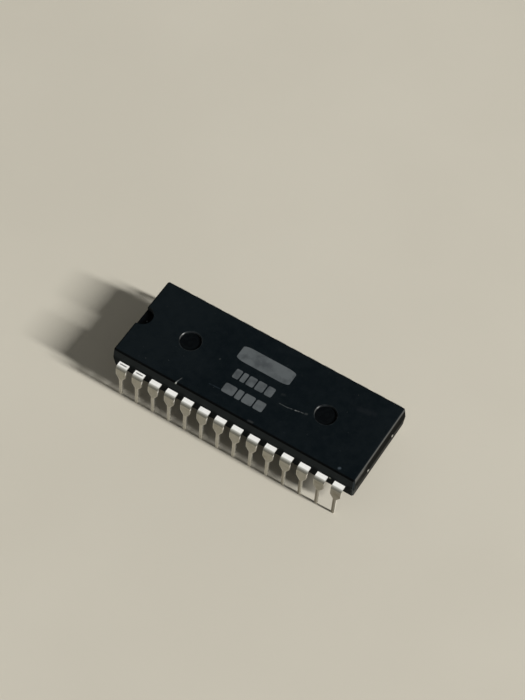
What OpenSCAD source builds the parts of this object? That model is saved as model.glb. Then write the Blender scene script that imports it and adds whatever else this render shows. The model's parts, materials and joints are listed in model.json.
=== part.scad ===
// Dual in-line integrated circuit: a moulded body around a stamped and formed lead frame.
// Lengths are millimetres. X runs along the package with the notched end at -X, Y runs
// across the two rows of leads, +Z is up, and the lead tips stand on z = 0.

/* [Lead grid] */
// Leads along each side, an even number
leads_per_side = 14; // [10:2:14]
// Distance between neighbouring leads
lead_pitch = 2.54; // [2.1:0.01:3.2]
// Distance between the two rows of leads, taken at the shoulders
row_spacing = 15.24; // [14.4:0.01:18.4]

/* [Moulded body] */
// From the middle of the last lead to the end of the body at its parting line
end_margin = 1.96; // [1.6:0.01:3]
// From the side of the body at its parting line to the middle of the lead's shoulder
shoulder_reach = 0.87; // [0.75:0.01:1.3]
// Thickness of the moulded body
body_thickness = 3.94; // [3.2:0.01:4.8]
// Slope of the side walls away from the parting line, in degrees
side_draft = 8; // [3:0.5:12]
// Slope of the end walls away from the parting line, in degrees
end_draft = 3; // [1:0.5:12]
// Radius along the top and bottom edges
edge_radius = 0.3; // [0.08:0.01:0.4]
// Width of the bevel down each corner of the body
corner_bevel = 0.28; // [0.1:0.01:0.5]

/* [Notch and ejector marks] */
// Width of the half-round notch at the first lead's end
notch_width = 3; // [2:0.1:4]
// How far the notch runs in from the end of the top face
notch_reach = 1.7; // [1:0.05:2.2]
// Depth of the notch below the top face
notch_depth = 0.8; // [0.5:0.05:1.45]
// Diameter of the round ejector marks inside their rims
mark_diameter = 2.9; // [2:0.1:4]
// Width of the bevel round the rim of each mark
mark_rim = 0.1; // [0.04:0.01:0.16]
// Distance between the two ejector marks on a face
mark_spacing = 20.8; // [14:0.1:24]
// How far the pair of marks lies off the middle, towards the notch
mark_shift = 0.19; // [0:0.01:0.5]
// Depth of the marks in the top face
top_mark_depth = 0.28; // [0.1:0.01:0.5]
// Depth of the marks in the underside
bottom_mark_depth = 0.15; // [0.05:0.01:0.4]

/* [Leads] */
// Thickness of the lead frame's strip
strip_thickness = 0.254; // [0.2:0.002:0.31]
// Width of a lead at its shoulder
lead_wide = 1.52; // [1.2:0.02:1.8]
// Width of a lead where it enters a board
lead_narrow = 0.48; // [0.38:0.01:0.6]
// Inside radius of the bend at the shoulder
bend_radius = 0.25; // [0.15:0.01:0.35]
// Angle by which the rows splay outwards, in degrees
splay_angle = 3; // [0:0.5:6]
// Height of the body's underside above the seating plane
standoff = 0.38; // [0.3:0.01:0.6]
// Length of the narrow part, from the seating plane to the tip
seating_length = 3.3; // [2.6:0.05:4]
// Length over which a lead widens above the seating plane
widening_length = 0.85; // [0.6:0.05:1.1]
// Radius of the corner where the widening meets the wide part
widening_radius = 0.3; // [0.1:0.05:0.5]
// Width of a lead's tip
tip_width = 0.26; // [0.2:0.01:0.36]
// Length of the chamfer at the tip
tip_chamfer = 0.3; // [0.1:0.05:0.5]

/* [Lead frame inside the body] */
// How far the wide part of a lead runs into the body
anchor_depth = 0.95; // [0.6:0.05:1.3]
// Width of the fingers that reach in to the die
finger_width = 0.4; // [0.3:0.01:0.48]
// Length of the straight tip of each finger
finger_tip_length = 0.55; // [0.4:0.05:0.8]
// Gap between the die paddle and the tips of the fingers
finger_gap = 0.35; // [0.2:0.01:0.5]
// Length of the die paddle along the package
paddle_length = 6.6; // [5.6:0.1:8]
// Width of the die paddle across the package
paddle_width = 6.2; // [5.6:0.1:7]
// How far the paddle is set below the leads
paddle_downset = 0.2; // [0.1:0.01:0.3]
// Width of the strap that carries the paddle along the package
strap_width = 0.9; // [0.6:0.05:1.1]
// Length of the step between the paddle and its strap
strap_step = 0.6; // [0.4:0.05:1]
// Width of the tie bars that come out at the ends of the body
tie_bar_width = 0.6; // [0.5:0.05:1.1]
// Distance between the two tie bars at an end
tie_bar_spacing = 6.15; // [4.5:0.05:7.5]
// How far the cut tie bars stand out of the end faces
tie_bar_stub = 0.06; // [0.03:0.01:0.3]

/* [Die and bond wires] */
// Length of the silicon die along the package
die_length = 4.6; // [3.8:0.1:5.2]
// Width of the silicon die across the package
die_width = 4.4; // [3.8:0.1:5.2]
// Thickness of the silicon die
die_thickness = 0.4; // [0.25:0.01:0.5]
// Thickness of the layer that holds the die to the paddle
attach_thickness = 0.04; // [0.02:0.005:0.08]
// From the die's edge to the middle of its bond pads
pad_inset = 0.15; // [0.1:0.01:0.25]
// From the end of a finger to the middle of its bond
bond_inset = 0.22; // [0.15:0.01:0.35]
// Diameter of the bond wires
wire_diameter = 0.04; // [0.03:0.002:0.06]
// Height of a bond wire's loop above the line between its two ends
wire_rise = 0.35; // [0.2:0.01:0.5]
// Diameter of the flattened bond at each end of a wire
bond_diameter = 0.11; // [0.09:0.005:0.14]
// Height of the flattened bonds
bond_height = 0.05; // [0.04:0.005:0.08]

/* [Hidden] */
$fn = 48;
lead_count = 2 * leads_per_side;
// Sizes and levels of the body
body_length = (leads_per_side - 1) * lead_pitch + 2 * end_margin;
body_width = row_spacing - 2 * shoulder_reach;
underside = seating_length + standoff;
top_face = underside + body_thickness;
parting_plane = underside + body_thickness / 2;
top_length = body_length - body_thickness * tan(end_draft);
// Levels of the lead frame, which lies with its middle on the parting plane
strip_top = parting_plane + strip_thickness / 2;
strip_bottom = parting_plane - strip_thickness / 2;
paddle_top = strip_top - paddle_downset;
die_top = paddle_top + attach_thickness + die_thickness;
// Where the leads turn down: the axis of the bend and the length of blade under it
bend_y = row_spacing / 2 - bend_radius - strip_thickness / 2;
bend_z = strip_bottom - bend_radius;
blade_length = (bend_z + bend_radius * sin(splay_angle)) / cos(splay_angle);
narrow_length = seating_length / cos(splay_angle);
// Each quarter of the frame has half of a side's leads: the inner ones come to the
// paddle's long side and the outer ones to its end
quarter_leads = leads_per_side / 2;
side_fingers = floor(quarter_leads / 2);
end_fingers = quarter_leads - side_fingers;
anchor_y = body_width / 2 - anchor_depth;
side_finger_pitch = paddle_length / (2 * side_fingers);
first_end_finger = strap_width / 2 + finger_gap + finger_width / 2;
end_finger_pitch = (paddle_width / 2 - first_end_finger) / (end_fingers - 1);
finger_tip_x = paddle_length / 2 + finger_gap;
finger_tip_y = paddle_width / 2 + finger_gap;
// Overlap that joins the pieces of one solid
weld = 0.05;
// Flats round a bond wire and its bonds, which are far too thin to show as round
wire_flats = 6;
// How far a cutting shape reaches past the face that it cuts
cut_through = 1;

function two_digits(n) = n < 10 ? str("0", n) : str(n);
function lead_name(i) = str("lead_", two_digits(i));
function wire_name(i) = str("bond_wire_", two_digits(i));

// Leads are numbered along the near side from the notch, then back along the far side.
// The place of a lead is counted in pitches from the middle of its row.
function on_near_side(i) = i <= leads_per_side;
function lead_place(i) =
    (on_near_side(i) ? i : lead_count + 1 - i) - (leads_per_side + 1) / 2;
// Rank of a lead in its quarter, from 0 at the middle of the row
function lead_rank(i) = abs(lead_place(i)) - 0.5;
function lead_x(rank) = (rank + 0.5) * lead_pitch;
function feeds_side(rank) = rank < side_fingers;

// Where the tip of a finger is, the way it points, and its knee
function finger_end(rank) =
    feeds_side(rank)
        ? [(rank + 0.5) * side_finger_pitch, finger_tip_y]
        : [finger_tip_x, first_end_finger + (quarter_leads - 1 - rank) * end_finger_pitch];
function finger_heading(rank) = feeds_side(rank) ? [0, -1] : [-1, 0];
function finger_knee(rank) = finger_end(rank) - finger_tip_length * finger_heading(rank);

function unit(v) = v / norm(v);
function left_of(v) = [-v[1], v[0]];
// Offset to the left at a knee that keeps the width on both of its legs
function knee_offset(way_in, way_out) =
    let (a = left_of(way_in), b = left_of(way_out))
    (a + b) / (1 + a * b) * finger_width / 2;

// From a corner to where its rounding begins, for two lines that turn by the given angle
function tangent_length(radius, turn) = radius * tan(turn / 2);

// One drafted section of the body, with rounded top and bottom edges
module drafted_section(half_width, draft) {
    half_height = body_thickness / 2;
    half_cap = half_width - half_height * tan(draft);
    reach = tangent_length(edge_radius, 90 - draft);
    wall_x = half_cap + reach * sin(draft);
    wall_y = half_height - reach * cos(draft);
    cap_x = half_cap - reach;
    polygon([
        [half_width, 0], [wall_x, wall_y], [cap_x, half_height],
        [-cap_x, half_height], [-wall_x, wall_y], [-half_width, 0],
        [-wall_x, -wall_y], [-cap_x, -half_height],
        [cap_x, -half_height], [wall_x, -wall_y]
    ]);
    for (side = [-1, 1], face = [-1, 1])
        translate([side * cap_x, face * (half_height - edge_radius)])
            circle(r = edge_radius);
}

// A drafted prism as long as the body, which faces the given way round
module drafted_prism(half_width, draft, facing) {
    rotate([90, 0, 90 + facing])
        linear_extrude(body_length + 2 * cut_through, center = true)
            drafted_section(half_width, draft);
}

// The outer form of the moulding: drafted prisms that cross, one for the sides, one for
// the ends and two that bevel the corners
module moulded_block() {
    corner = (body_length + body_width - corner_bevel * sqrt(2)) / 2 / sqrt(2);
    translate([0, 0, parting_plane])
        intersection() {
            drafted_prism(body_width / 2, side_draft, 0);
            drafted_prism(body_length / 2, end_draft, 90);
            drafted_prism(corner, side_draft, 45);
            drafted_prism(corner, side_draft, -45);
        }
}

// Notch that marks the end with the first lead: half round, then straight out to the end
module end_notch() {
    centre = notch_reach - (top_length + notch_width) / 2;
    open_end = -body_length / 2 - cut_through;
    translate([0, 0, top_face - notch_depth])
        linear_extrude(notch_depth + cut_through) {
            translate([centre, 0])
                circle(d = notch_width);
            translate([open_end, -notch_width / 2])
                square([centre - open_end, notch_width]);
        }
}

// Round recess sunk in a face at z = 0, with a bevelled rim
module rimmed_recess(depth) {
    rim = min(mark_rim, depth / 2);
    translate([0, 0, -depth])
        cylinder(d = mark_diameter, h = depth + cut_through);
    translate([0, 0, -rim])
        cylinder(
            d1 = mark_diameter, d2 = mark_diameter + 2 * (rim + cut_through),
            h = rim + cut_through
        );
}

// Shallow round marks left by the ejector pins in both faces
module ejector_marks() {
    for (end = [-1, 1])
        translate([end * mark_spacing / 2 - mark_shift, 0, 0]) {
            translate([0, 0, top_face])
                rimmed_recess(top_mark_depth);
            translate([0, 0, underside])
                mirror([0, 0, 1])
                    rimmed_recess(bottom_mark_depth);
        }
}

// The body as moulded: solid around everything that it holds
module package_body() {
    color([0.08, 0.09, 0.1])
        difference() {
            moulded_block();
            end_notch();
            ejector_marks();
            for (i = [1:lead_count]) {
                in_quarter(i) frame_finger(lead_rank(i));
                bond_wire(i);
            }
            die_paddle();
            die_attach();
            silicon_die();
        }
}

// Flat part of a lead, from its finger tip through the body's wall to the bend
module frame_finger(rank) {
    x = lead_x(rank);
    tip = finger_end(rank);
    knee = finger_knee(rank);
    heading = finger_heading(rank);
    at_knee = knee_offset(unit(knee - [x, anchor_y]), heading);
    at_tip = left_of(heading) * finger_width / 2;
    translate([0, 0, strip_bottom])
        linear_extrude(strip_thickness)
            polygon([
                [x - lead_wide / 2, bend_y], [x - lead_wide / 2, anchor_y],
                knee - at_knee, tip - at_tip, tip + at_tip, knee + at_knee,
                [x + lead_wide / 2, anchor_y], [x + lead_wide / 2, bend_y]
            ]);
}

// Outline of the part of a lead below its bend, drawn downwards from the bend
module blade_outline() {
    widening_top = narrow_length + widening_length - blade_length;
    widening_bottom = narrow_length - blade_length;
    turn = atan((lead_wide - lead_narrow) / 2 / widening_length);
    reach = tangent_length(widening_radius, turn);
    half_wide = lead_wide / 2;
    half_narrow = lead_narrow / 2;
    half_tip = tip_width / 2;
    for (side = [-1, 1]) {
        polygon([
            [0, 0], [side * half_wide, 0], [side * half_wide, widening_top + reach],
            [side * (half_wide - reach * sin(turn)), widening_top - reach * cos(turn)],
            [side * half_narrow, widening_bottom],
            [side * half_narrow, tip_chamfer - blade_length],
            [side * half_tip, -blade_length], [0, -blade_length]
        ]);
        translate([side * (half_wide - widening_radius), widening_top + reach])
            circle(r = widening_radius);
    }
}

// One lead in the quarter where x and y are positive
module quarter_lead(rank) {
    frame_finger(rank);
    translate([lead_x(rank), bend_y, bend_z]) {
        rotate([0, -90, 0])
            rotate_extrude(angle = 90 - splay_angle)
                translate([bend_radius, -lead_wide / 2])
                    square([strip_thickness, lead_wide]);
        rotate([90 + splay_angle, 0, 0])
            translate([0, 0, -bend_radius - strip_thickness])
                linear_extrude(strip_thickness)
                    blade_outline();
    }
}

// Moves what is drawn in the quarter of positive x and y to the quarter of lead i
module in_quarter(i) {
    mirror([lead_place(i) < 0 ? 1 : 0, 0, 0])
        mirror([0, on_near_side(i) ? 1 : 0, 0])
            children();
}

module lead(i) {
    color([0.78, 0.77, 0.73])
        in_quarter(i) quarter_lead(lead_rank(i));
}

// Strap from the paddle out to the fork at one end, with the step up to the leads' level
module paddle_strap() {
    step_start = paddle_length / 2 + weld;
    step_end = step_start + strap_step;
    strap_end = fork_x() + tie_bar_width;
    paddle_bottom = paddle_top - strip_thickness;
    rotate([90, 0, 0])
        linear_extrude(strap_width, center = true)
            polygon([
                [paddle_length / 2 - weld, paddle_top], [step_start, paddle_top],
                [step_end, strip_top], [strap_end, strip_top],
                [strap_end, strip_bottom], [step_end, strip_bottom],
                [step_start, paddle_bottom], [paddle_length / 2 - weld, paddle_bottom]
            ]);
}

// Inner edge of the fork's crossbar, in line with the last leads
function fork_x() = lead_x(quarter_leads - 1) - tie_bar_width;

// Crossbar and two tie bars, which come out at the parting line and are cut off just
// outside the body
module end_fork() {
    outer_y = (tie_bar_spacing + tie_bar_width) / 2;
    bar_end = body_length / 2 + tie_bar_stub;
    translate([0, 0, strip_bottom])
        linear_extrude(strip_thickness) {
            translate([fork_x(), -outer_y])
                square([tie_bar_width, 2 * outer_y]);
            for (side = [-1, 1])
                translate([fork_x(), side * tie_bar_spacing / 2 - tie_bar_width / 2])
                    square([bar_end - fork_x(), tie_bar_width]);
        }
}

// Plate under the die with its straps and tie bars, stamped from the same strip
module die_paddle() {
    color([0.76, 0.72, 0.64]) {
        translate([-paddle_length / 2, -paddle_width / 2, paddle_top - strip_thickness])
            cube([paddle_length, paddle_width, strip_thickness]);
        for (end = [0, 1])
            mirror([end, 0, 0]) {
                paddle_strap();
                end_fork();
            }
    }
}

module die_attach() {
    color([0.7, 0.7, 0.68])
        translate([-die_length / 2, -die_width / 2, paddle_top])
            cube([die_length, die_width, attach_thickness]);
}

module silicon_die() {
    color([0.35, 0.38, 0.42])
        translate([-die_length / 2, -die_width / 2, paddle_top + attach_thickness])
            cube([die_length, die_width, die_thickness]);
}

// Bond pad of a lead on the die, and bond on its finger, in the positive quarter
function pad_point(rank) =
    feeds_side(rank)
        ? [(rank + 0.5) * die_length / (2 * side_fingers + 1), die_width / 2 - pad_inset]
        : [die_length / 2 - pad_inset,
           (quarter_leads - rank - 0.5) * die_width / (2 * end_fingers + 1)];
function bond_point(rank) = finger_end(rank) - bond_inset * finger_heading(rank);

// Flattened end of a bond wire, standing on z = 0
module flat_bond() {
    cylinder(d = bond_diameter, h = bond_height, $fn = wire_flats);
}

// Wire looped over from its pad on the die to its finger, with a flattened bond at each end
module quarter_wire(rank) {
    pad = pad_point(rank);
    span = bond_point(rank) - pad;
    run = norm(span);
    drop = die_top - strip_top;
    chord = norm([run, drop]);
    tilt = -atan2(drop, run);
    loop_radius = (chord * chord / 4 + wire_rise * wire_rise) / (2 * wire_rise);
    half_angle = asin(chord / 2 / loop_radius);
    below = loop_radius - wire_rise;
    translate([pad[0], pad[1], 0])
        rotate([0, 0, atan2(span[1], span[0])]) {
            translate([0, 0, die_top])
                flat_bond();
            translate([run, 0, strip_top])
                flat_bond();
            translate([
                run / 2 + below * sin(tilt), 0,
                die_top - drop / 2 + bond_height / 2 - below * cos(tilt)
            ])
                rotate([90, 0, 0])
                    rotate([0, 0, 90 + tilt - half_angle])
                        rotate_extrude(angle = 2 * half_angle)
                            translate([loop_radius, 0])
                                circle(d = wire_diameter, $fn = wire_flats);
        }
}

module bond_wire(i) {
    color([0.83, 0.68, 0.35])
        in_quarter(i) quarter_wire(lead_rank(i));
}

package_body();
die_paddle();
die_attach();
silicon_die();
for (i = [1:lead_count]) {
    lead(i);
    bond_wire(i);
}
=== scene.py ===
import json
import logging
import math
from dataclasses import dataclass
from enum import Enum
from typing import Any, Optional, Union

import bmesh
import bpy
from mathutils import Matrix, Vector

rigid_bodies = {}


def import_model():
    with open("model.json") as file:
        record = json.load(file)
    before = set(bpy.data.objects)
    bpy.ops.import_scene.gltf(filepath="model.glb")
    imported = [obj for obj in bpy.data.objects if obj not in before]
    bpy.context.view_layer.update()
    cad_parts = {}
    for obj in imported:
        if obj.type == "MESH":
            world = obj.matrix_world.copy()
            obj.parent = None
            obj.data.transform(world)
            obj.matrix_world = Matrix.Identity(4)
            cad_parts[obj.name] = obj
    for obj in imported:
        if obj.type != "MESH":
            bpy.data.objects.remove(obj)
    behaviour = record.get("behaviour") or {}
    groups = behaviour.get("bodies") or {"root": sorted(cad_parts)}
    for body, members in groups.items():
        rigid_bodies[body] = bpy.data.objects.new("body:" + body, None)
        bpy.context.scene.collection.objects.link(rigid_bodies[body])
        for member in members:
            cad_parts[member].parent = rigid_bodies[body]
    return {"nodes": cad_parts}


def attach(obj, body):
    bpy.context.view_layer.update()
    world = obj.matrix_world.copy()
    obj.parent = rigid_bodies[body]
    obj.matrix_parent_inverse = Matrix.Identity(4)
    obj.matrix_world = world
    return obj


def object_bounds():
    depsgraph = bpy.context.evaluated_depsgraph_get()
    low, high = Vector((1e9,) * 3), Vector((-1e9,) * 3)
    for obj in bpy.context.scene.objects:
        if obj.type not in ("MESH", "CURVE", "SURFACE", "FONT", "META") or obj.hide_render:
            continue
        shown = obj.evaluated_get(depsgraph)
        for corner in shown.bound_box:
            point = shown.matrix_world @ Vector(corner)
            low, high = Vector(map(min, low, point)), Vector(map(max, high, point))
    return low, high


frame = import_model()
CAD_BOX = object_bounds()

LOG = logging.getLogger("dual_in_line")

MM = 0.001
TOP = CAD_BOX[1][2] / MM
RGB = tuple[float, float, float]
Point = tuple[float, float, float]
Spot = tuple[float, float]
Value = Union["Socket", float]
Key = Union[str, int]


@dataclass(frozen=True)
class Fade:
    """A smooth step between two values, and its strength where it is full."""

    low: float
    high: float
    full: float = 1.0


@dataclass(frozen=True)
class Stripe:
    """A band of values: full up to half its width, fading out over its soft sides."""

    centre: float
    half: float
    soft: float
    full: float = 1.0


@dataclass(frozen=True)
class Pattern:
    """Noise in the object's frame, with a mean near a half.

    scale is features in a millimetre, detail is octaves, and roughness is the finer octaves'
    share. stretch and shift are factors and offsets of the coordinates.
    """

    scale: float
    detail: float = 4.0
    roughness: float = 0.55
    stretch: Point = (1.0, 1.0, 1.0)
    shift: Point = (0.0, 0.0, 0.0)


class Socket:
    """An output of a node, with arithmetic that adds Math nodes."""

    def __init__(self, graph: "Graph", port: bpy.types.NodeSocket) -> None:
        """Wraps one output.

        Args:
            graph: The tree that the output belongs to.
            port: The output itself.
        """
        self.graph = graph
        self.port = port

    def _math(self, operation: str, *values: Value) -> "Socket":
        """Adds a Math node.

        Args:
            operation: The node's operation.
            values: What goes into its sockets, in order.

        Returns:
            The node's output.
        """
        return self.graph.out("ShaderNodeMath", {"operation": operation}, dict(enumerate(values)))

    def __add__(self, other: Value) -> "Socket":
        """Sum."""
        return self._math("ADD", self, other)

    __radd__ = __add__

    def __sub__(self, other: Value) -> "Socket":
        """Difference."""
        return self._math("SUBTRACT", self, other)

    def __rsub__(self, other: Value) -> "Socket":
        """Difference from a number."""
        return self._math("SUBTRACT", other, self)

    def __mul__(self, other: Value) -> "Socket":
        """Product."""
        return self._math("MULTIPLY", self, other)

    __rmul__ = __mul__

    def __truediv__(self, other: Value) -> "Socket":
        """Quotient."""
        return self._math("DIVIDE", self, other)

    def __abs__(self) -> "Socket":
        """Size without sign."""
        return self._math("ABSOLUTE", self)

    def __mod__(self, other: Value) -> "Socket":
        """Remainder, never negative."""
        return self._math("FLOORED_MODULO", self, other)

    def root(self) -> "Socket":
        """Square root."""
        return self._math("SQRT", self)

    def least(self, other: Value) -> "Socket":
        """The smaller of two."""
        return self._math("MINIMUM", self, other)

    def most(self, other: Value) -> "Socket":
        """The larger of two."""
        return self._math("MAXIMUM", self, other)

    def _step(self, fade: Fade, start: float, end: float) -> "Socket":
        """Adds a smooth Map Range node.

        Args:
            fade: Where the step begins and ends.
            start: Its result before that.
            end: Its result after that.

        Returns:
            The step.
        """
        return self.graph.out(
            "ShaderNodeMapRange", {"interpolation_type": "SMOOTHSTEP"},
            {"Value": self, "From Min": fade.low, "From Max": fade.high,
             "To Min": start, "To Max": end})

    def rise(self, fade: Fade) -> "Socket":
        """A smooth step up from 0."""
        return self._step(fade, 0.0, fade.full)

    def fall(self, fade: Fade) -> "Socket":
        """A smooth step down to 0."""
        return self._step(fade, fade.full, 0.0)

    def band(self, stripe: Stripe) -> "Socket":
        """A stripe of values with soft sides."""
        side = Fade(stripe.half, stripe.half + stripe.soft, stripe.full)
        return abs(self - stripe.centre).fall(side)


class Graph:
    """A node tree, with the one method that adds nodes to it."""

    def __init__(self, tree: bpy.types.NodeTree) -> None:
        """Takes a tree to work on.

        Args:
            tree: A material's or a modifier's tree.
        """
        self.tree = tree

    @staticmethod
    def _port(made: bpy.types.Node, key: Key) -> bpy.types.NodeSocket:
        """Finds an input by its place, its identifier or its name.

        Args:
            made: The node.
            key: Which input.

        Returns:
            The input.
        """
        if isinstance(key, int):
            return made.inputs[key]
        for port in made.inputs:
            if port.identifier == key:
                return port
        return next(port for port in made.inputs if port.name == key and port.enabled)

    def fill(self, port: bpy.types.NodeSocket, value: Any) -> None:
        """Links an input, or sets it.

        Args:
            port: The input.
            value: A number, a vector, a colour or an output.
        """
        if isinstance(value, Socket):
            value = value.port
        if isinstance(value, bpy.types.NodeSocket):
            self.tree.links.new(value, port)
        elif port.type == "RGBA":
            port.default_value = (*value, 1.0)
        else:
            port.default_value = value

    def node(self, kind: str, settings: Optional[dict[str, Any]] = None,
             values: Optional[dict[Key, Any]] = None) -> bpy.types.Node:
        """Adds a node, with its settings first and its sockets after them.

        Args:
            kind: The node's type.
            settings: Properties of the node; "stops" holds a ramp's places and colours.
            values: A number, a colour or an output for each named socket.

        Returns:
            The node.
        """
        made = self.tree.nodes.new(kind)
        for name, value in (settings or {}).items():
            if name == "stops":
                ramp = made.color_ramp.elements
                while len(ramp) < len(value):
                    ramp.new(0.5)
                for element, (place, colour) in zip(ramp, value):
                    element.position = place
                    element.color = (*colour, 1.0)
            else:
                setattr(made, name, value)
        for key, value in (values or {}).items():
            self.fill(self._port(made, key), value)
        return made

    def out(self, kind: str, settings: Optional[dict[str, Any]] = None,
            values: Optional[dict[Key, Any]] = None, which: Key = 0) -> Socket:
        """Adds a node and wraps one of its outputs.

        Args:
            kind: The node's type.
            settings: As for node().
            values: As for node().
            which: The output, by place or name.

        Returns:
            The output.
        """
        return Socket(self, self.node(kind, settings, values).outputs[which])


class Surface(Graph):
    """A material under construction. Its places are in millimetres, in the object's frame."""

    def __init__(self, name: str) -> None:
        """Makes the material with a Principled shader and its coordinates.

        Args:
            name: The material's name.
        """
        self.material = bpy.data.materials.new(name)
        self.material.use_nodes = True
        super().__init__(self.material.node_tree)
        self.tree.nodes.clear()
        self.shader = self.node("ShaderNodeBsdfPrincipled")
        self.node("ShaderNodeOutputMaterial", None, {"Surface": self.shader.outputs[0]})
        source = self.node("ShaderNodeTexCoord")
        self.at = self.out("ShaderNodeVectorMath", {"operation": "SCALE"},
                           {0: source.outputs["Object"], "Scale": 1.0 / MM})
        self.x, self.y, self.z = self._parts(self.at)
        self.nx, self.ny, self.nz = self._parts(Socket(self, source.outputs["Normal"]))
        self.colour: Union[Socket, RGB] = (0.0, 0.0, 0.0)

    def _parts(self, vector: Socket) -> tuple[Socket, Socket, Socket]:
        """Splits a vector.

        Args:
            vector: The vector.

        Returns:
            Its three parts.
        """
        split = self.node("ShaderNodeSeparateXYZ", None, {0: vector})
        return tuple(Socket(self, port) for port in split.outputs)

    def noise(self, pattern: Pattern) -> Socket:
        """Adds a Noise Texture.

        Args:
            pattern: Its sizes.

        Returns:
            The noise.
        """
        place = self.out("ShaderNodeMapping", None, {
            "Vector": self.at, "Scale": pattern.stretch, "Location": pattern.shift})
        return self.out("ShaderNodeTexNoise", None, {
            "Vector": place, "Scale": pattern.scale, "Detail": pattern.detail,
            "Roughness": pattern.roughness})

    def mix(self, share: Value, first: Union[Socket, RGB], second: Union[Socket, RGB]) -> Socket:
        """Mixes two colours.

        Args:
            share: How much of the second one.
            first: A colour.
            second: A colour.

        Returns:
            The mixed colour.
        """
        return self.out("ShaderNodeMix", {"data_type": "RGBA"},
                        {"Factor_Float": share, "A_Color": first, "B_Color": second}, 2)

    def over(self, share: Value, tone: Union[Socket, RGB]) -> None:
        """Lays a tone over the base colour so far.

        Args:
            share: How much of it shows.
            tone: The tone.
        """
        self.colour = self.mix(share, self.colour, tone)

    @staticmethod
    def _reach(first: Socket, second: Socket) -> Socket:
        """Length of two offsets together."""
        return (first * first + second * second).root()

    def stroke(self, start: Spot, end: Spot) -> Socket:
        """Distance in plan from a straight mark.

        Args:
            start: One end, in millimetres.
            end: The other end.

        Returns:
            The distance in millimetres.
        """
        along = (end[0] - start[0], end[1] - start[1])
        square = along[0] ** 2 + along[1] ** 2
        share = ((self.x - start[0]) * along[0] + (self.y - start[1]) * along[1]) / square
        share = share.least(1.0).most(0.0)
        return self._reach(self.x - start[0] - share * along[0],
                           self.y - start[1] - share * along[1])

    def ring(self, centre: Spot) -> Socket:
        """Distance in plan from a point, in millimetres."""
        return self._reach(self.x - centre[0], self.y - centre[1])

    def side_ring(self, centre: Spot) -> Socket:
        """Distance from a point in the side view, in millimetres."""
        return self._reach(self.x - centre[0], self.z - centre[1])

    def bump(self, height: Socket, depth: float, strength: float) -> None:
        """Gives the shader a relief.

        Args:
            height: The relief, between 0 and 1.
            depth: Its full depth in millimetres.
            strength: The node's strength.
        """
        relief = self.out("ShaderNodeBump", None,
                          {"Height": height, "Distance": depth * MM, "Strength": strength})
        self.fill(self.shader.inputs["Normal"], relief)

    def shade(self, **values: Value) -> bpy.types.Material:
        """Fills the shader's base colour and its other sockets, named with _ for a space.

        Args:
            values: What each of the other sockets takes.

        Returns:
            The finished material.
        """
        self.fill(self.shader.inputs["Base Color"], self.colour)
        for name, value in values.items():
            self.fill(self.shader.inputs[name.replace("_", " ")], value)
        return self.material


@dataclass(frozen=True)
class Scar:
    """A straight scratch, nick or smudge on the moulding, seen in plan, in millimetres."""

    start: Spot
    end: Spot
    width: float
    strength: float
    breaks: float = 1.0
    tone: RGB = (0.260, 0.265, 0.255)


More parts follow.
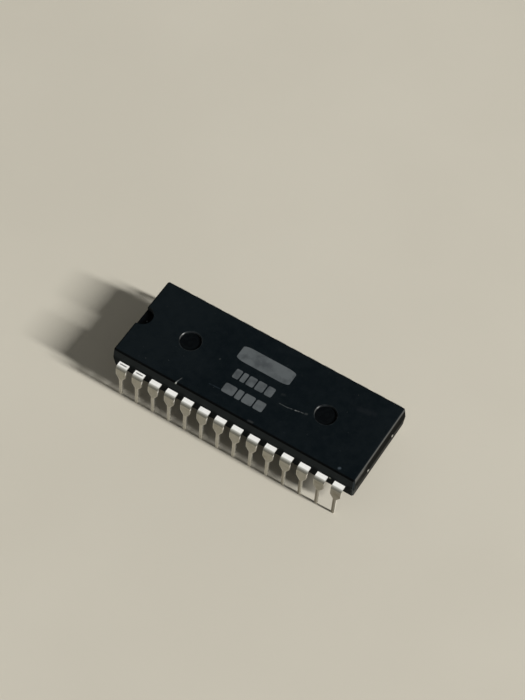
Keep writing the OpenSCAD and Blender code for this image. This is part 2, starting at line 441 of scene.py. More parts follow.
@dataclass(frozen=True)
class MouldingFinish:
    """Black moulding compound: dull, fine spark-eroded skin, years of handling, painted light and
    shade.

    Fades that end in _x, _y or _z go by a place, _depth by the distance under the top face, and
    _turn by a part of the normal.
    """

    # Tones
    dark: RGB = (0.0009, 0.0031, 0.0047)
    light: RGB = (0.0042, 0.0070, 0.0088)
    # Painted shade inside the notch and the marks
    recess_shade: RGB = (0.0001, 0.0005, 0.0010)
    # Painted sheen on the long walls, and painted shade at their feet by the leads
    flank_sheen: RGB = (0.0212, 0.0262, 0.0292)
    flank_foot_shade: RGB = (0.0105, 0.0138, 0.0160)
    end: RGB = (0.0010, 0.0013, 0.0011)
    shade: RGB = (0.0002, 0.0004, 0.0005)
    # Scuffs all over, and the ring round the marks that is partly a painted highlight
    scuff_and_rim_highlight: RGB = (0.0260, 0.0310, 0.0335)
    # Painted highlight on edges that face the end without the notch
    wear_and_highlight: RGB = (0.0420, 0.0430, 0.0410)
    chalk: RGB = (0.1100, 0.1140, 0.1080)
    swirl: RGB = (0.0060, 0.0090, 0.0100)
    spot: RGB = (0.3300, 0.3500, 0.3200)

    # Patterns
    grain: Pattern = Pattern(9.0, 3.0)
    pores: Pattern = Pattern(3.0, 3.0)
    cloud: Pattern = Pattern(1.1, 5.0, 0.6)
    haze: Pattern = Pattern(0.17, 3.0, 0.5, shift=(3.0, 1.0, 0.0))
    flecks: Pattern = Pattern(2.3, 2.0, 0.4, shift=(7.0, 2.0, 5.0))
    rubs: Pattern = Pattern(0.5, 5.0, 0.7, stretch=(0.35, 1.6, 1.0))
    crumbs: Pattern = Pattern(4.5, 4.0, 0.7, shift=(2.0, 6.0, 3.0))

    # Skin, with the shares that patterns have in its tone, relief and roughness
    tone_shares: tuple[float, float, float] = (0.45, 0.75, 0.50)
    relief_shares: tuple[float, float] = (0.55, 0.45)
    rough_shares: tuple[float, float] = (0.12, 0.10)
    tone_range: Fade = Fade(0.55, 1.15)
    pale_end_x: Fade = Fade(-15.0, -5.0, 0.16)
    smoothest: float = 0.69
    specular: float = 0.06
    polish: float = 0.35
    skin_depth: float = 0.008
    skin_strength: float = 0.8

    # Walls and rounded edges: painted sheen on the long walls, painted shade at their feet and
    # edges
    wall_turn: Fade = Fade(0.16, 0.35)
    flank_z: Fade = Fade(5.95, 6.45)
    end_turn: Fade = Fade(0.60, 0.90)
    edge_foot_turn: Fade = Fade(0.16, 0.30)
    edge_head_turn: Fade = Fade(0.93, 0.99)
    long_edge_turn: Fade = Fade(0.12, 0.35)
    long_edge_shade: float = 0.90

    # Recesses, with painted shade inside: the marks by the distance from their wall, the notch by
    # that from its middle
    mark_wall: Fade = Fade(-0.03, 0.03)
    notch_wall: Fade = Fade(1.42, 1.50)
    notch_depth: Fade = Fade(0.03, 0.10)
    recess_shade_share: float = 0.92
    swirl_rings: float = 0.8
    swirl_bends: float = 3.4
    swirl_line: Stripe = Stripe(0.5, 0.08, 0.20, 0.16)
    # Ring round each mark: wear, partly a painted highlight of its rim
    rim: Stripe = Stripe(0.06, 0.05, 0.06, 0.55)
    rim_breaks: Fade = Fade(0.30, 0.62)

    # Wear and scars
    fleck_range: Fade = Fade(0.70, 0.76, 0.16)
    rub_range: Fade = Fade(0.60, 0.82, 0.10)
    scar_depth: Fade = Fade(0.25, 0.35)
    scar_core: float = 0.3
    scar_detail: float = 2.0
    scar_shift: Point = (1.0, 4.0, 2.0)
    scar_breaks: Fade = Fade(0.34, 0.56)
    spot_size: Fade = Fade(0.10, 0.24)
    front_turn: Fade = Fade(-0.9, -0.6, 0.9)
    crumb_range: Fade = Fade(0.48, 0.62, 0.60)
    foot_x: Fade = Fade(17.8, 18.2)
    foot_y: Fade = Fade(-6.4, -5.2)
    foot_z: Fade = Fade(5.6, 6.7)

    # Polished places of the end without the notch, and a painted highlight on edges facing it
    end_wall_turn: Fade = Fade(0.90, 0.97)
    lit_edge_turn: Fade = Fade(0.48, 0.76)
    lit_edge_cloud: float = 0.5
    lit_edge_least: float = 0.75
    near_y: Fade = Fade(-4.6, -3.0)
    lip_depth: Fade = Fade(0.30, 0.55, 0.30)
    near_lip_depth: Fade = Fade(0.35, 1.05, 0.55)
    undercut_turn: Fade = Fade(-0.04, 0.04)
    undercut_z: Fade = Fade(4.9, 5.6, 0.25)
    corner_range: Fade = Fade(0.40, 0.65, 0.12)
    long_edge_dulling: float = 0.6

    def _walls(self, made: Surface, turned: Socket) -> None:
        """Paints flanks and ends; painted sheen on flanks, painted shade at their feet and long
        edges.

        Args:
            made: The material.
            turned: Where the long edges are.
        """
        # Painted sheen on the long walls, darkening to painted shade towards their feet
        side = made.mix(made.z.rise(self.flank_z), self.flank_foot_shade, self.flank_sheen)
        side = made.mix(abs(made.nx).rise(self.end_turn), side, self.end)
        made.over(made.nz.fall(self.wall_turn), side)
        # Painted shade along the long rounded edges
        made.over(turned * self.long_edge_shade, self.shade)

    def _recesses(self, made: Surface, body: "PackageBody", cloud: Socket) -> Socket:
        """Paints shade in the notch and marks, and on the marks swirls and rims with wear and a
        painted highlight.

        Args:
            made: The material.
            body: The body, for the places of its recesses.
            cloud: The cloudy pattern.

        Returns:
            Where the recesses are.
        """
        left, right = body.marks()
        middle = made.ring(left).least(made.ring(right))
        from_wall = middle - body.mark_radius
        marks = from_wall.fall(self.mark_wall)
        notch = (made.ring((body.notch_place, 0.0)).fall(self.notch_wall)
                 * (body.top - made.z).rise(self.notch_depth))
        recessed = marks.most(notch)
        # Painted shade inside the notch and the marks
        made.over(recessed * self.recess_shade_share, self.recess_shade)
        turns = (middle * self.swirl_rings + cloud * self.swirl_bends) % 1.0
        made.over(turns.band(self.swirl_line) * marks, self.swirl)
        # A lighter ring of wear round each mark, partly a painted highlight of its rim
        made.over(from_wall.band(self.rim) * cloud.rise(self.rim_breaks), self.scuff_and_rim_highlight)
        return recessed

    def _wear(self, made: Surface, body: "PackageBody", recessed: Socket) -> None:
        """Paints flecks and rubs all over, and the body's own scars.

        Args:
            made: The material.
            body: The body, for its scars.
            recessed: Where the recesses are, which stay clean.
        """
        clear = 1.0 - recessed
        flecks = made.noise(self.flecks).rise(self.fleck_range)
        rubs = made.noise(self.rubs).rise(self.rub_range)
        made.over((flecks + rubs) * clear, self.scuff_and_rim_highlight)
        on_top = (body.top - made.z).fall(self.scar_depth) * clear
        for scar in body.scars:
            line = made.stroke(scar.start, scar.end).fall(
                Fade(scar.width * self.scar_core, scar.width, scar.strength))
            ragged = made.noise(Pattern(scar.breaks, self.scar_detail, shift=self.scar_shift))
            made.over(line * ragged.rise(self.scar_breaks) * on_top, scar.tone)
        spot = made.side_ring(body.wall_spot).fall(self.spot_size)
        made.over(spot * made.ny.fall(self.front_turn), self.spot)

    def _lit_end(self, made: Surface, body: "PackageBody", cloud: Socket, edges: Socket,
                 turned: Socket) -> Socket:
        """Paints a highlight on edges facing the unnotched end and its near lip; finds what is
        polished there.

        Args:
            made: The material.
            body: The body, for the height of its top.
            cloud: The cloudy pattern.
            edges: Where the rounded upper edges are.
            turned: Where the long ones of them are.

        Returns:
            How much each place is polished.
        """
        depth = body.top - made.z
        end_wall = made.nx.rise(self.end_wall_turn)
        near_end = end_wall * made.y.fall(self.near_y)
        patches = (cloud * self.lit_edge_cloud + self.lit_edge_least).least(1.0)
        lit_edge = made.nx.rise(self.lit_edge_turn) * edges * patches
        lip = end_wall * depth.fall(self.lip_depth)
        near_lip = near_end * depth.fall(self.near_lip_depth)
        undercut = (end_wall * made.nz.fall(self.undercut_turn)
                    * made.z.fall(self.undercut_z))
        corner = near_end * cloud.rise(self.corner_range)
        # Painted highlight on rounded edges facing the unnotched end, and on the near part of its
        # lip
        made.over(lit_edge.most(near_lip) * (1.0 - turned), self.wear_and_highlight)
        polished = lit_edge.most(lip).most(near_lip).most(undercut).most(corner)
        return polished * (1.0 - turned * self.long_edge_dulling)

    def _foot(self, made: Surface) -> None:
        """Scuffs the foot of the near corner at that end."""
        foot = made.x.rise(self.foot_x) * made.y.fall(self.foot_y) * made.z.fall(self.foot_z)
        made.over(made.noise(self.crumbs).rise(self.crumb_range) * foot, self.chalk)

    def material(self, body: "PackageBody") -> bpy.types.Material:
        """Builds the compound's material.

        Args:
            body: The body, for the places of its recesses and scars.

        Returns:
            The material.
        """
        made = Surface("moulding_compound")
        grain, cloud = made.noise(self.grain), made.noise(self.cloud)
        of_grain, of_cloud, of_haze = self.tone_shares
        tone = (grain * of_grain + cloud * of_cloud + made.noise(self.haze) * of_haze
                + made.x.fall(self.pale_end_x))
        made.colour = made.mix(tone.rise(self.tone_range), self.dark, self.light)

        edges = made.nz.rise(self.edge_foot_turn) * made.nz.fall(self.edge_head_turn)
        turned = abs(made.ny).rise(self.long_edge_turn) * edges
        self._walls(made, turned)
        recessed = self._recesses(made, body, cloud)
        self._wear(made, body, recessed)
        polished = self._lit_end(made, body, cloud, edges, turned)
        self._foot(made)

        of_grain, of_pores = self.relief_shares
        made.bump(grain * of_grain + made.noise(self.pores) * of_pores,
                  self.skin_depth, self.skin_strength)
        of_grain, of_cloud = self.rough_shares
        return made.shade(
            Roughness=grain * of_grain + cloud * of_cloud + self.smoothest,
            Specular_IOR_Level=self.specular, Coat_Weight=polished,
            Coat_Roughness=self.polish)


@dataclass(frozen=True)
class LeadFinish:
    """Satin tin on nickel-iron: painted highlight on the shoulders, greyed and stained blades.

    Fades that end in _x, _y or _z go by a place, _turn by a part of the normal, and the others
    by the distance from the middle of a blade or by a pattern.
    """

    # Tones, the first ones by the share of the way up from profile_low to profile_high
    # Painted highlight on the shoulders' tops, and painted shade down the bend that is partly a
    # crease mark
    profile: tuple[tuple[float, RGB], ...] = (
        (0.00, (0.455, 0.437, 0.380)),
        (0.22, (0.400, 0.384, 0.328)),
        (0.32, (0.190, 0.186, 0.158)),
        (0.46, (0.180, 0.180, 0.157)),
        (0.72, (0.195, 0.195, 0.173)),
        (0.90, (0.490, 0.495, 0.462)),
        (0.965, (0.990, 0.995, 0.975)),
    )
    profile_low: float = 5.15
    profile_high: float = 5.80
    grey: RGB = (0.420, 0.410, 0.370)
    # Blotches on the blades, and the painted shade on the dimple's wall
    stain_and_shade: RGB = (0.250, 0.225, 0.150)
    # Painted shade on the narrow ends' far side; also the last blades' darker tone
    tarnish_and_shade: RGB = (0.170, 0.145, 0.105)
    # Painted dark reflection on the shoulders of the first leads
    shoulder_reflection: RGB = (0.110, 0.110, 0.105)
    # Painted highlight for the blades' rims and narrow ends
    edge: RGB = (0.880, 0.865, 0.800)

    # Patterns
    cloud: Pattern = Pattern(1.6, 4.0, 0.6)
    brushing: Pattern = Pattern(9.0, 3.0, 0.6, stretch=(1.0, 0.12, 0.12))
    blotches: Pattern = Pattern(0.8, 5.0, 0.65, shift=(2.0, 9.0, 1.0))

    # Blades, with painted highlights on rims and narrow ends, and painted shade on one side
    brushing_range: Fade = Fade(0.45, 0.75)
    brushing_share: float = 0.10
    brushing_extra: float = 0.08
    blotch_range: Fade = Fade(0.46, 0.68, 0.50)
    rim: Fade = Fade(-0.14, -0.03, 0.45)
    thin_reach: float = 0.15
    ridge: Fade = Fade(0.04, 0.13, 0.35)
    lit_side: Fade = Fade(0.02, 0.18, 0.40)
    dim_side: Fade = Fade(-0.04, 0.08, 0.75)
    dim_x: Fade = Fade(6.0, 10.0)
    near_y: Fade = Fade(-1.0, 0.0)
    late_x: Fade = Fade(11.8, 16.0, 0.42)

    # Painted dark reflections on the first shoulders, and painted shade in the dimple
    early_x: Fade = Fade(-12.9, -11.7, 0.9)
    streak_y: Stripe = Stripe(-7.05, 0.05, 0.07)
    streak_reach: Fade = Fade(0.42, 0.60)
    level_turn: Fade = Fade(0.80, 0.95)
    dimple_wall: Stripe = Stripe(0.12, 0.03, 0.04, 0.7)
    upright_turn: Fade = Fade(0.3, 0.5)

    # Shader
    relief_shares: tuple[float, float] = (0.6, 0.4)
    relief_depth: float = 0.006
    relief_strength: float = 0.6
    metal: float = 0.15
    smoothest: float = 0.32
    unevenness: float = 0.20

    def _blades(self, made: Surface, rows: "LeadRows", offset: Socket, blade: Socket) -> None:
        """Stains the blades, paints highlights on their rims and narrow ends and shade on one
        side.

        Args:
            made: The material.
            rows: The rows of leads.
            offset: The distance along the row from the middle of a blade.
            blade: Where the blades are.
        """
        across = abs(offset)
        half = (made.z.rise(Fade(rows.taper_low, rows.taper_high, (rows.wide - rows.narrow) / 2))
                + rows.narrow / 2)
        made.over(made.noise(self.blotches).rise(self.blotch_range) * blade, self.stain_and_shade)
        # Painted highlight along both rims of each blade
        made.over((across - half).rise(self.rim) * blade, self.edge)
        thin = made.z.fall(Fade(rows.taper_low - self.thin_reach, rows.taper_low))
        near = made.y.fall(self.near_y)
        # Painted highlights down the middle of the narrow ends, and on their side towards the key
        # light
        made.over(across.fall(self.ridge) * thin, self.edge)
        made.over(offset.rise(self.lit_side) * thin * near, self.edge)
        # Painted shade on the side of the narrow ends away from the key light, near row from the
        # middle on
        made.over(offset.fall(self.dim_side) * thin * made.x.rise(self.dim_x) * near,
                  self.tarnish_and_shade)
        # Darker blades on the last leads of the near row
        made.over(made.x.rise(self.late_x) * near * blade, self.tarnish_and_shade)

    def _marks(self, made: Surface, rows: "LeadRows", offset: Socket) -> None:
        """Paints dark reflections on the first shoulders and shade on the dimple's wall.

        Args:
            made: The material.
            rows: The rows of leads, for the dimple's place.
            offset: The distance along the row from the middle of a blade.
        """
        # Painted dark reflection on the shoulders of the first two leads
        streaks = (made.y.band(self.streak_y) * abs(offset).fall(self.streak_reach)
                   * made.nz.rise(self.level_turn) * made.x.fall(self.early_x))
        made.over(streaks, self.shoulder_reflection)
        # Painted shade on the dimple's wall
        dimple = (made.side_ring(rows.dimple).band(self.dimple_wall)
                  * made.y.fall(self.near_y) * made.nz.fall(self.upright_turn))
        made.over(dimple, self.stain_and_shade)

    def material(self, rows: "LeadRows") -> bpy.types.Material:
        """Builds the plating's material.

        Args:
            rows: The rows of leads, for their pitch and widths.

        Returns:
            The material.
        """
        made = Surface("tinned_lead")
        cloud, brushed = made.noise(self.cloud), made.noise(self.brushing)
        way_up = (made.z - self.profile_low) / (self.profile_high - self.profile_low)
        # Painted highlight on the shoulders and painted shade down the bends, by height
        made.colour = made.out("ShaderNodeValToRGB", {"stops": self.profile}, {0: way_up})
        blade = made.z.fall(Fade(self.profile_low, rows.bend))
        shoulder = 1.0 - blade
        made.over(brushed.rise(self.brushing_range)
                  * (shoulder * self.brushing_extra + self.brushing_share), self.grey)
        offset = made.x % rows.pitch - rows.pitch / 2
        self._blades(made, rows, offset, blade)
        self._marks(made, rows, offset)

        of_brushed, of_cloud = self.relief_shares
        made.bump(brushed * of_brushed + cloud * of_cloud, self.relief_depth,
                  self.relief_strength)
        return made.shade(
            Metallic=self.metal, Roughness=cloud * self.unevenness + self.smoothest)


@dataclass(frozen=True)
class StripFinish:
    """Bare stamped strip, with sheared ends and compound smeared over their corners."""

    bright: RGB = (0.820, 0.800, 0.740)
    dull: RGB = (0.500, 0.480, 0.420)
    smear: RGB = (0.014, 0.014, 0.013)
    shear: Pattern = Pattern(6.0, 3.0, 0.6, stretch=(1.0, 1.0, 0.3))
    shear_range: Fade = Fade(0.35, 0.70)
    tie_bar_spacing: float = 6.15
    clean_middle: Stripe = Stripe(-0.05, 0.10, 0.09)
    cut_end_x: Fade = Fade(18.2, 18.4)
    relief_depth: float = 0.008
    relief_strength: float = 0.7
    metal: float = 0.6
    smoothest: float = 0.28
    unevenness: float = 0.20

    def material(self) -> bpy.types.Material:
        """Builds the strip's material.

        Returns:
            The material.
        """
        made = Surface("frame_strip")
        shear = made.noise(self.shear)
        made.colour = made.mix(shear.rise(self.shear_range), self.bright, self.dull)
        offset = made.y % self.tie_bar_spacing - self.tie_bar_spacing / 2
        made.over((1.0 - offset.band(self.clean_middle)) * made.x.rise(self.cut_end_x),
                  self.smear)
        made.bump(shear, self.relief_depth, self.relief_strength)
        return made.shade(
            Metallic=self.metal, Roughness=shear * self.unevenness + self.smoothest)


@dataclass(frozen=True)
class PlainFinish:
    """A finish of two tones, for what the moulding hides."""

    name: str
    first: RGB
    second: RGB
    grain: float
    metal: float
    smoothest: float
    tone_range: Fade = Fade(0.35, 0.65)
    relief_depth: float = 0.003
    relief_strength: float = 0.5
    unevenness: float = 0.15

    def material(self) -> bpy.types.Material:
        """Builds the material.

        Returns:
            The material.
        """
        made = Surface(self.name)
        cloud = made.noise(Pattern(self.grain))
        made.colour = made.mix(cloud.rise(self.tone_range), self.first, self.second)
        made.bump(cloud, self.relief_depth, self.relief_strength)
        return made.shade(
            Metallic=self.metal, Roughness=cloud * self.unevenness + self.smoothest)


@dataclass(frozen=True)
class InkFinish:
    """Grey marking ink, rubbed thin in places so that the compound shows through."""

    full: RGB = (0.085, 0.096, 0.102)
    thin: RGB = (0.045, 0.052, 0.057)
    rubs: Pattern = Pattern(0.7, 3.0, 0.5)
    specks: Pattern = Pattern(14.0, 2.0)
    shares: tuple[float, float] = (0.8, 0.2)
    worn_range: Fade = Fade(0.40, 0.70)
    relief_depth: float = 0.004
    relief_strength: float = 0.4
    roughness: float = 0.6
    specular: float = 0.25

    def material(self) -> bpy.types.Material:
        """Builds the ink's material.

        Returns:
            The material.
        """
        made = Surface("marking_ink")
        of_rubs, of_specks = self.shares
        wear_and_highlight = made.noise(self.rubs) * of_rubs + made.noise(self.specks) * of_specks
        wear_and_highlight = wear_and_highlight.rise(self.worn_range)
        made.colour = made.mix(wear_and_highlight, self.full, self.thin)
        made.bump(wear_and_highlight, self.relief_depth, self.relief_strength)
        return made.shade(Roughness=self.roughness, Specular_IOR_Level=self.specular)


@dataclass(frozen=True)
class DullFinish:
    """A finish of two close tones without gloss or relief, for dust and for the floor."""

    name: str
    first: RGB
    second: RGB
    cloud: Pattern
    roughness: float
    specular: float
    tone_range: Fade = Fade(0.35, 0.65)

    def material(self) -> bpy.types.Material:
        """Builds the material.

        Returns:
            The material.
        """
        made = Surface(self.name)
        tone = made.noise(self.cloud).rise(self.tone_range)
        made.colour = made.mix(tone, self.first, self.second)
        return made.shade(Roughness=self.roughness, Specular_IOR_Level=self.specular)


def dress(start: str, material: bpy.types.Material) -> int:
    """Gives a material to every CAD node whose name starts in one way.

    Args:
        start: How the names start, or the whole of one.
        material: What the nodes are made of.

    Returns:
        The number of such nodes.
    """
    names = [name for name in frame["nodes"] if name.startswith(start)]
    for name in names:
        for slot in frame["nodes"][name].material_slots:
            slot.material = material
    return len(names)


class Scatter(Enum):
    """Kinds of repeat that a Geometry Nodes tree makes."""

    ROW = "row of blocks"
    DUST = "dust"


class RepeatTree(Graph):
    """A Geometry Nodes group with named inputs, applied to a plain mesh."""

    def __init__(self, kind: Scatter, sizes: dict[str, float],
                 material: bpy.types.Material) -> None:
        """Starts the group.

        Args:
            kind: What it repeats.
            sizes: Its named inputs and their values, whole numbers for counts.
            material: What Set Material gives.
        """
        super().__init__(bpy.data.node_groups.new(kind.value, "GeometryNodeTree"))
        self.sizes = sizes
        self.material = material
        face = self.tree.interface
        face.new_socket("Geometry", in_out="INPUT", socket_type="NodeSocketGeometry")
        self.keys = {}
        for name, value in sizes.items():
            number = "NodeSocketInt" if isinstance(value, int) else "NodeSocketFloat"
            self.keys[name] = face.new_socket(name, in_out="INPUT", socket_type=number).identifier
        face.new_socket("Geometry", in_out="OUTPUT", socket_type="NodeSocketGeometry")
        start = self.node("NodeGroupInput")
        self.given = {port.name: Socket(self, port) for port in start.outputs if port.name}

    def vector(self, x: Value = 0.0, y: Value = 0.0, z: Value = 0.0) -> Socket:
        """Three numbers as a vector."""
        return self.out("ShaderNodeCombineXYZ", None, {0: x, 1: y, 2: z})

    def random(self, low: Value, high: Value, seed: Socket) -> Socket:
        """A random number for each point.

        Args:
            low: The least it may be.
            high: The most it may be.
            seed: The seed.

        Returns:
            The number.
        """
        return self.out("FunctionNodeRandomValue", {"data_type": "FLOAT"},
                        {"Min_001": low, "Max_001": high, "Seed": seed}, 1)

    def close(self, points: Socket, shape: Socket, turn: Socket, size: Socket) -> None:
        """Sets the shape on the points, and ends with Realize Instances and Set Material.

        Args:
            points: Where it goes.
            shape: What is repeated.
            turn: Its rotation at each point.
            size: Its scale at each point.
        """
        laid = self.out("GeometryNodeInstanceOnPoints", None, {
            "Points": points, "Instance": shape, "Rotation": turn, "Scale": size})
        real = self.out("GeometryNodeRealizeInstances", None, {0: laid})
        done = self.out("GeometryNodeSetMaterial", None,
                        {"Geometry": real, "Material": self.material})
        self.node("NodeGroupOutput", None, {0: done})

    def apply(self, name: str, place: Point) -> bpy.types.Object:
        """Runs the group and keeps its result as a plain mesh at the origin.

        Args:
            name: The piece's name.
            place: Where the group's origin lies, in metres.

        Returns:
            The piece.
        """
        holder = bpy.data.objects.new(name + "_source", bpy.data.meshes.new(name + "_source"))
        bpy.context.scene.collection.objects.link(holder)
        modifier = holder.modifiers.new(name, "NODES")
        modifier.node_group = self.tree
        for key, value in self.sizes.items():
            modifier[self.keys[key]] = value
        bpy.context.view_layer.update()
        mesh = bpy.data.meshes.new_from_object(
            holder.evaluated_get(bpy.context.evaluated_depsgraph_get()))
        mesh.name = name
        holder.modifiers.remove(modifier)
        bpy.data.objects.remove(holder)
        mesh.transform(Matrix.Translation(place))
        piece = bpy.data.objects.new(name, mesh)
        bpy.context.scene.collection.objects.link(piece)
        return piece


@dataclass
class PackageBody:
    """The moulded body, with the marks of its life."""

    mark_spacing: float = 20.8
    mark_shift: float = 0.19
    mark_radius: float = 1.45
    notch_place: float = -18.17
    top: float = TOP
    wall_spot: Spot = (15.0, 5.72)
    finish: MouldingFinish = MouldingFinish()
    scars: tuple[Scar, ...] = (
        Scar((-8.70, -6.60), (-8.33, -5.40), 0.09, 0.80, 0.6, (0.20, 0.21, 0.21)),
        Scar((-8.68, -6.56), (-8.60, -6.42), 0.13, 0.90, 0.3, (0.45, 0.48, 0.46)),
        Scar((4.29, -1.80), (5.60, -1.78), 0.07, 0.45, 1.2, (0.10, 0.11, 0.11)),
        Scar((5.39, -1.78), (6.62, -1.59), 0.08, 0.60, 1.6, (0.16, 0.17, 0.17)),
        Scar((6.55, -1.60), (7.62, -1.40), 0.10, 0.85, 1.2, (0.18, 0.19, 0.19)),
        Scar((7.95, -1.32), (8.10, -1.26), 0.22, 0.45, 0.5, (0.05, 0.055, 0.055)),
        Scar((-5.83, -0.30), (-5.79, -0.22), 0.14, 0.45, 0.3, (0.05, 0.055, 0.055)),
        Scar((-4.90, -4.22), (-3.40, -4.14), 0.12, 0.25, 0.9, (0.035, 0.05, 0.065)),
        Scar((2.30, -6.18), (2.90, -6.15), 0.22, 0.28, 0.5, (0.06, 0.063, 0.064)),
        Scar((3.95, -0.48), (4.15, -0.42), 0.35, 0.30, 0.5, (0.03, 0.034, 0.034)),
        Scar((13.40, 3.12), (15.40, 3.40), 0.60, 0.14, 1.1, (0.022, 0.024, 0.027)),
        Scar((15.70, -5.86), (15.78, -5.80), 0.26, 0.80, 0.9, (0.05, 0.065, 0.08)),
    )

    def marks(self) -> tuple[Spot, Spot]:
        """The middles of the two round marks, in plan."""
        half = self.mark_spacing / 2
        return (-half - self.mark_shift, 0.0), (half - self.mark_shift, 0.0)

    def build(self) -> None:
        """Dresses the body."""
        dress("package_body", self.finish.material(self))
        LOG.info("package_body: moulding compound with %d scars", len(self.scars))


@dataclass(frozen=True)
class InkRow:
    """One row of plain printed blocks, in millimetres."""

    centre: Spot
    length: float
    height: float
    count: int
    seed: int


@dataclass
class PrintedMark:
    """Plain printed fields of ink on the top face."""

    top: float = TOP
    film: float = 0.012
    gap: float = 0.22
    corner: float = 0.16
    corner_points: int = 5
    narrowest: float = 0.6
    widest: float = 1.6
    finish: InkFinish = InkFinish()
    rows: tuple[InkRow, ...] = (
        InkRow((-0.18, 2.20), 8.3, 2.4, 1, 3),
        InkRow((-0.10, -1.00), 6.2, 1.5, 5, 11),
        InkRow((-0.05, -3.55), 6.4, 1.5, 4, 26),
    )

    def _tree(self, row: InkRow, material: bpy.types.Material) -> RepeatTree:
        """Builds the group that lays one row of blocks of varied width.

        Args:
            row: The row's sizes.
            material: The ink.

        Returns:
            The group.
        """
        tree = RepeatTree(Scatter.ROW, {
            "Length": row.length * MM, "Height": row.height * MM, "Gap": self.gap * MM,
            "Film": self.film * MM, "Corner": self.corner, "Blocks": row.count,
            "Seed": row.seed}, material)
        given = tree.given
        points = tree.out("GeometryNodeMeshLine", None,
                          {"Count": given["Blocks"], "Offset": (0.0, 0.0, 0.0)})
        share = tree.random(self.narrowest, self.widest, given["Seed"])
        sums = tree.node("GeometryNodeAccumulateField", {"data_type": "FLOAT"}, {0: share})
        before, total = (Socket(tree, sums.outputs[place]) for place in (1, 2))
        wide = share / total * given["Length"]
        middle = (before / total - 0.5) * given["Length"] + wide * 0.5
        placed = tree.out("GeometryNodeSetPosition", None,
                          {"Geometry": points, "Position": tree.vector(middle)})
        outline = tree.out("GeometryNodeCurvePrimitiveQuadrilateral", None,
                           {"Width": 1.0, "Height": 1.0})
        rounded = tree.out("GeometryNodeFilletCurve", {"mode": "POLY"}, {
            "Curve": outline, "Radius": given["Corner"], "Count": self.corner_points})
        face = tree.out("GeometryNodeFillCurve", {"mode": "NGONS"}, {"Curve": rounded})
        block = tree.out("GeometryNodeExtrudeMesh", None,
                         {"Mesh": face, "Offset Scale": 1.0, "Individual": False})
        tree.close(placed, block, tree.vector(),
                   tree.vector(wide - given["Gap"], given["Height"], given["Film"]))
        return tree

    def build(self) -> None:
        """Makes every row and puts it on the body."""
        ink = self.finish.material()
        for number, row in enumerate(self.rows, 1):
            tree = self._tree(row, ink)
            place = (row.centre[0] * MM, row.centre[1] * MM, self.top * MM)
            piece = tree.apply(f"ink_row_{number}", place)
            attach(piece, "root")
            LOG.info("%s: %d blocks, %d faces", piece.name, row.count, len(piece.data.polygons))


@dataclass
class Dust:
    """A thin scatter of dust on the top face."""

    length: float = 36.0
    width: float = 12.6
    top: float = TOP
    count: int = 18
    seed: int = 8
    smallest: float = 0.012
    largest: float = 0.045
    shortest: float = 0.6
    longest: float = 2.6
    flatness: float = 0.5
    smoothing: int = 2
    stretch_seed: float = 5.0
    turn_seed: float = 9.0
    finish: DullFinish = DullFinish(
        "dust", (0.022, 0.026, 0.028), (0.060, 0.064, 0.064), Pattern(0.6, 1.0), 0.9, 0.1)

    def build(self) -> None:
        """Makes the dust and puts it on the body."""
        tree = RepeatTree(Scatter.DUST, {
            "Length": self.length * MM, "Width": self.width * MM,
            "Density": self.count / (self.length * self.width * MM * MM),
            "Smallest": self.smallest * MM, "Largest": self.largest * MM,
            "Seed": self.seed}, self.finish.material())
        given = tree.given
        field = tree.out("GeometryNodeMeshGrid", None, {
            "Size X": given["Length"], "Size Y": given["Width"],
            "Vertices X": 2, "Vertices Y": 2})
        spots = tree.out("GeometryNodeDistributePointsOnFaces", None, {
            "Mesh": field, "Density": given["Density"], "Seed": given["Seed"]})
        grain = tree.out("GeometryNodeMeshIcoSphere", None,
                         {"Radius": 1.0, "Subdivisions": self.smoothing})
        size = tree.random(given["Smallest"], given["Largest"], given["Seed"])
        stretch = tree.random(self.shortest, self.longest, given["Seed"] + self.stretch_seed)
        turn = tree.random(0.0, math.tau, given["Seed"] + self.turn_seed)
        tree.close(spots, grain, tree.vector(0.0, 0.0, turn),
                   tree.vector(size * stretch, size, size * self.flatness))
        piece = tree.apply("dust", (0.0, 0.0, self.top * MM))
        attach(piece, "root")
        LOG.info("dust: %d faces", len(piece.data.polygons))


@dataclass
class LeadRows:
    """The two rows of formed leads."""

    pitch: float = 2.54
    wide: float = 1.52
    narrow: float = 0.48
    bend: float = 5.30
    dimple: Spot = (-8.34, 4.50)
    taper_low: float = 3.35
    taper_high: float = 4.15
    finish: LeadFinish = LeadFinish()

    def build(self) -> None:
        """Dresses every lead."""
        leads = dress("lead_", self.finish.material(self))
        LOG.info("leads: %d in tin", leads)


@dataclass
class FrameInside:
    """Paddle, die and wires, which the moulding hides but for the tie bars' ends."""

    strip: StripFinish = StripFinish()
    glue: PlainFinish = PlainFinish(
        "attach_layer", (0.45, 0.45, 0.43), (0.30, 0.30, 0.29), 5.0, 0.2, 0.53)
    silicon: PlainFinish = PlainFinish(
        "silicon", (0.10, 0.11, 0.14), (0.07, 0.08, 0.10), 0.8, 0.6, 0.13)
    gold: PlainFinish = PlainFinish(
        "bond_gold", (0.85, 0.60, 0.24), (0.70, 0.48, 0.18), 4.0, 1.0, 0.21)

    def build(self) -> None:
        """Dresses everything inside."""
        dress("die_paddle", self.strip.material())
        dress("die_attach", self.glue.material())
        dress("silicon_die", self.silicon.material())
        wires = dress("bond_wire_", self.gold.material())
        LOG.info("inside: paddle, die and %d wires", wires)


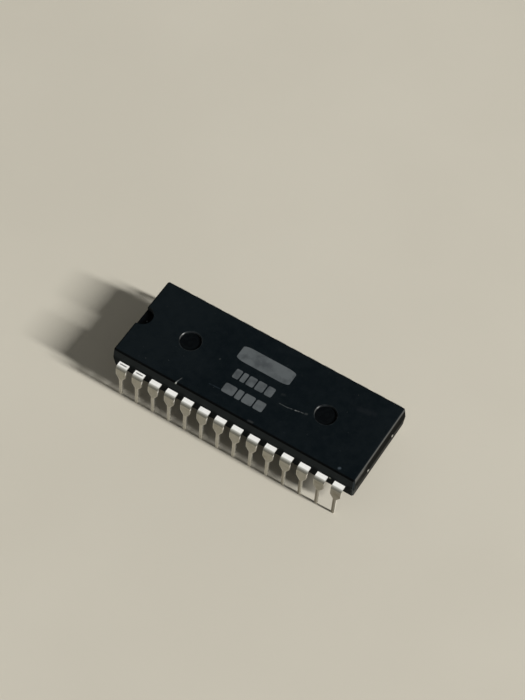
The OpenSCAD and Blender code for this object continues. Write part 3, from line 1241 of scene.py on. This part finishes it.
@dataclass
class Studio:
    """Floor, light and camera. Its sizes are in metres."""

    # Camera
    eye: Point = (0.068308, -0.119153, 0.222029)
    right: Point = (0.84595543, 0.53248047, 0.02870481)
    down: Point = (0.45793693, -0.6978384, -0.55074072)
    forward: Point = (-0.27322736, 0.47904709, -0.83418265)
    lens: float = 100.77
    nearest: float = 0.005
    farthest: float = 20.0

    # Light
    to_key: Point = (0.828, 0.048, 0.574)
    key_distance: float = 3.0
    key_size: Spot = (0.21, 0.95)
    key_power: float = 136.5
    key_tone: RGB = (1.0, 0.985, 0.955)
    ambient: float = 0.135
    ambient_tone: RGB = (0.97, 0.99, 1.0)

    # Floor
    flat_radius: float = 1.1
    flat_rings: int = 4
    cove_radius: float = 0.4
    cove_steps: int = 12
    wall_height: float = 0.7
    sides: int = 96
    floor: DullFinish = DullFinish(
        "studio_floor", (0.545, 0.518, 0.447), (0.527, 0.500, 0.430), Pattern(0.02, 3.0),
        0.85, 0.15)

    def _camera(self) -> None:
        """Puts the camera where the photograph was taken from."""
        data = bpy.data.cameras.new("camera")
        data.lens = self.lens
        data.clip_start = self.nearest
        data.clip_end = self.farthest
        camera = bpy.data.objects.new("camera", data)
        turn = Matrix((Vector(self.right), -Vector(self.down), -Vector(self.forward))).transposed()
        camera.matrix_world = Matrix.Translation(self.eye) @ turn.to_4x4()
        bpy.context.scene.collection.objects.link(camera)
        bpy.context.scene.camera = camera

    def _key(self) -> None:
        """Hangs the soft key light low beyond the unnotched end."""
        data = bpy.data.lights.new("key", "AREA")
        data.shape = "RECTANGLE"
        data.size, data.size_y = self.key_size
        data.energy = self.key_power
        data.color = self.key_tone
        lamp = bpy.data.objects.new("key", data)
        way = Vector(self.to_key).normalized()
        lamp.matrix_world = (Matrix.Translation(way * self.key_distance)
                             @ way.to_track_quat("Z", "Y").to_matrix().to_4x4())
        bpy.context.scene.collection.objects.link(lamp)

    def _world(self) -> None:
        """Lights evenly from all round."""
        world = bpy.data.worlds.new("studio")
        world.use_nodes = True
        back = world.node_tree.nodes["Background"]
        back.inputs["Color"].default_value = (*self.ambient_tone, 1.0)
        back.inputs["Strength"].default_value = self.ambient
        bpy.context.scene.world = world

    def _floor_profile(self) -> list[Spot]:
        """Works out the floor's section.

        Returns:
            Radii and heights, from the middle to the top of the wall.
        """
        profile = [(self.flat_radius * ring / self.flat_rings, 0.0)
                   for ring in range(self.flat_rings + 1)]
        for step in range(1, self.cove_steps + 1):
            angle = math.pi / 2 * step / self.cove_steps
            profile.append((self.flat_radius + self.cove_radius * math.sin(angle),
                            self.cove_radius * (1.0 - math.cos(angle))))
        profile.append((self.flat_radius + self.cove_radius, self.wall_height))
        return profile

    def _floor(self) -> None:
        """Makes a pale round floor whose rim curves up into a wall."""
        made = bmesh.new()
        middle, *rims = self._floor_profile()
        hub = made.verts.new((middle[0], 0.0, middle[1]))
        turns = [math.tau * side / self.sides for side in range(self.sides)]
        rings = [[made.verts.new((radius * math.cos(turn), radius * math.sin(turn), height))
                  for turn in turns] for radius, height in rims]
        for side in range(self.sides):
            after = (side + 1) % self.sides
            made.faces.new((hub, rings[0][side], rings[0][after]))
            for inner, outer in zip(rings, rings[1:]):
                made.faces.new((inner[side], outer[side], outer[after], inner[after]))
        for face in made.faces:
            face.smooth = True
        mesh = bpy.data.meshes.new("studio_floor")
        made.to_mesh(mesh)
        made.free()
        mesh.materials.append(self.floor.material())
        floor = bpy.data.objects.new("studio_floor", mesh)
        bpy.context.scene.collection.objects.link(floor)

    def build(self) -> None:
        """Sets the studio up."""
        self._camera()
        self._key()
        self._world()
        self._floor()
        bpy.context.scene.view_settings.view_transform = "Standard"
        LOG.info("studio: camera, key light and floor")


def main() -> None:
    """Builds the scene and reports each piece."""
    logging.basicConfig(level=logging.INFO, format="%(message)s")
    Studio().build()
    PackageBody().build()
    PrintedMark().build()
    Dust().build()
    LeadRows().build()
    FrameInside().build()


if __name__ == "__main__":
    main()
